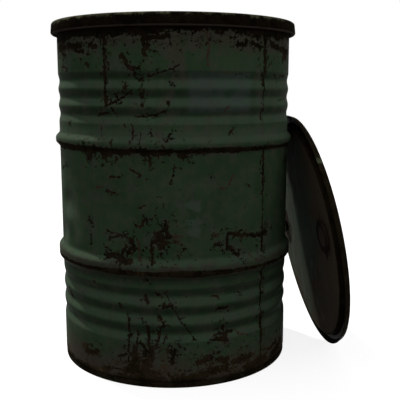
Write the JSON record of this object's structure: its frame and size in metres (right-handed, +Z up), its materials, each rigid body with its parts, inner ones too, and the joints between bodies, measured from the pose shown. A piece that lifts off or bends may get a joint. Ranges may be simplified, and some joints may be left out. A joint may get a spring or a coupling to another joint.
{
  "type": "rusty open-top oil drum",
  "caption": "Rusty open-top steel oil drum with rolling hoops and beads, its loose cover leaning against its side; holds liquids or scrap.",
  "frame": {"origin": "centre of the drum's foot ring, on the floor plane, on the drum's axis", "axes": "+Z up the drum's axis to its open mouth; +X roughly towards the leaning cover; the front of the drum faces -Y"},
  "size_m": [0.7223, 0.6337, 0.83],
  "materials": {
    "shell_paint": "old dark green paint, chalked, with rust streaks",
    "bottom_steel": "rusted through its paint",
    "cover_paint": "bare primed inside face, rusted and stained",
    "gasket_rubber": "perished matte black",
    "insert_steel": "rusted",
    "plug_steel": "rusted fast"
  },
  "bodies": {
    "root": {"body_shell": "shell_paint", "bottom_head": "bottom_steel", "cover": "cover_paint", "cover_gasket": "gasket_rubber", "bung_flange": "insert_steel", "bung_flange_gasket": "gasket_rubber", "bung_plug": "plug_steel", "bung_plug_gasket": "gasket_rubber", "vent_flange": "insert_steel", "vent_flange_gasket": "gasket_rubber", "vent_plug": "plug_steel", "vent_plug_gasket": "gasket_rubber"}
  },
  "joints": []
}
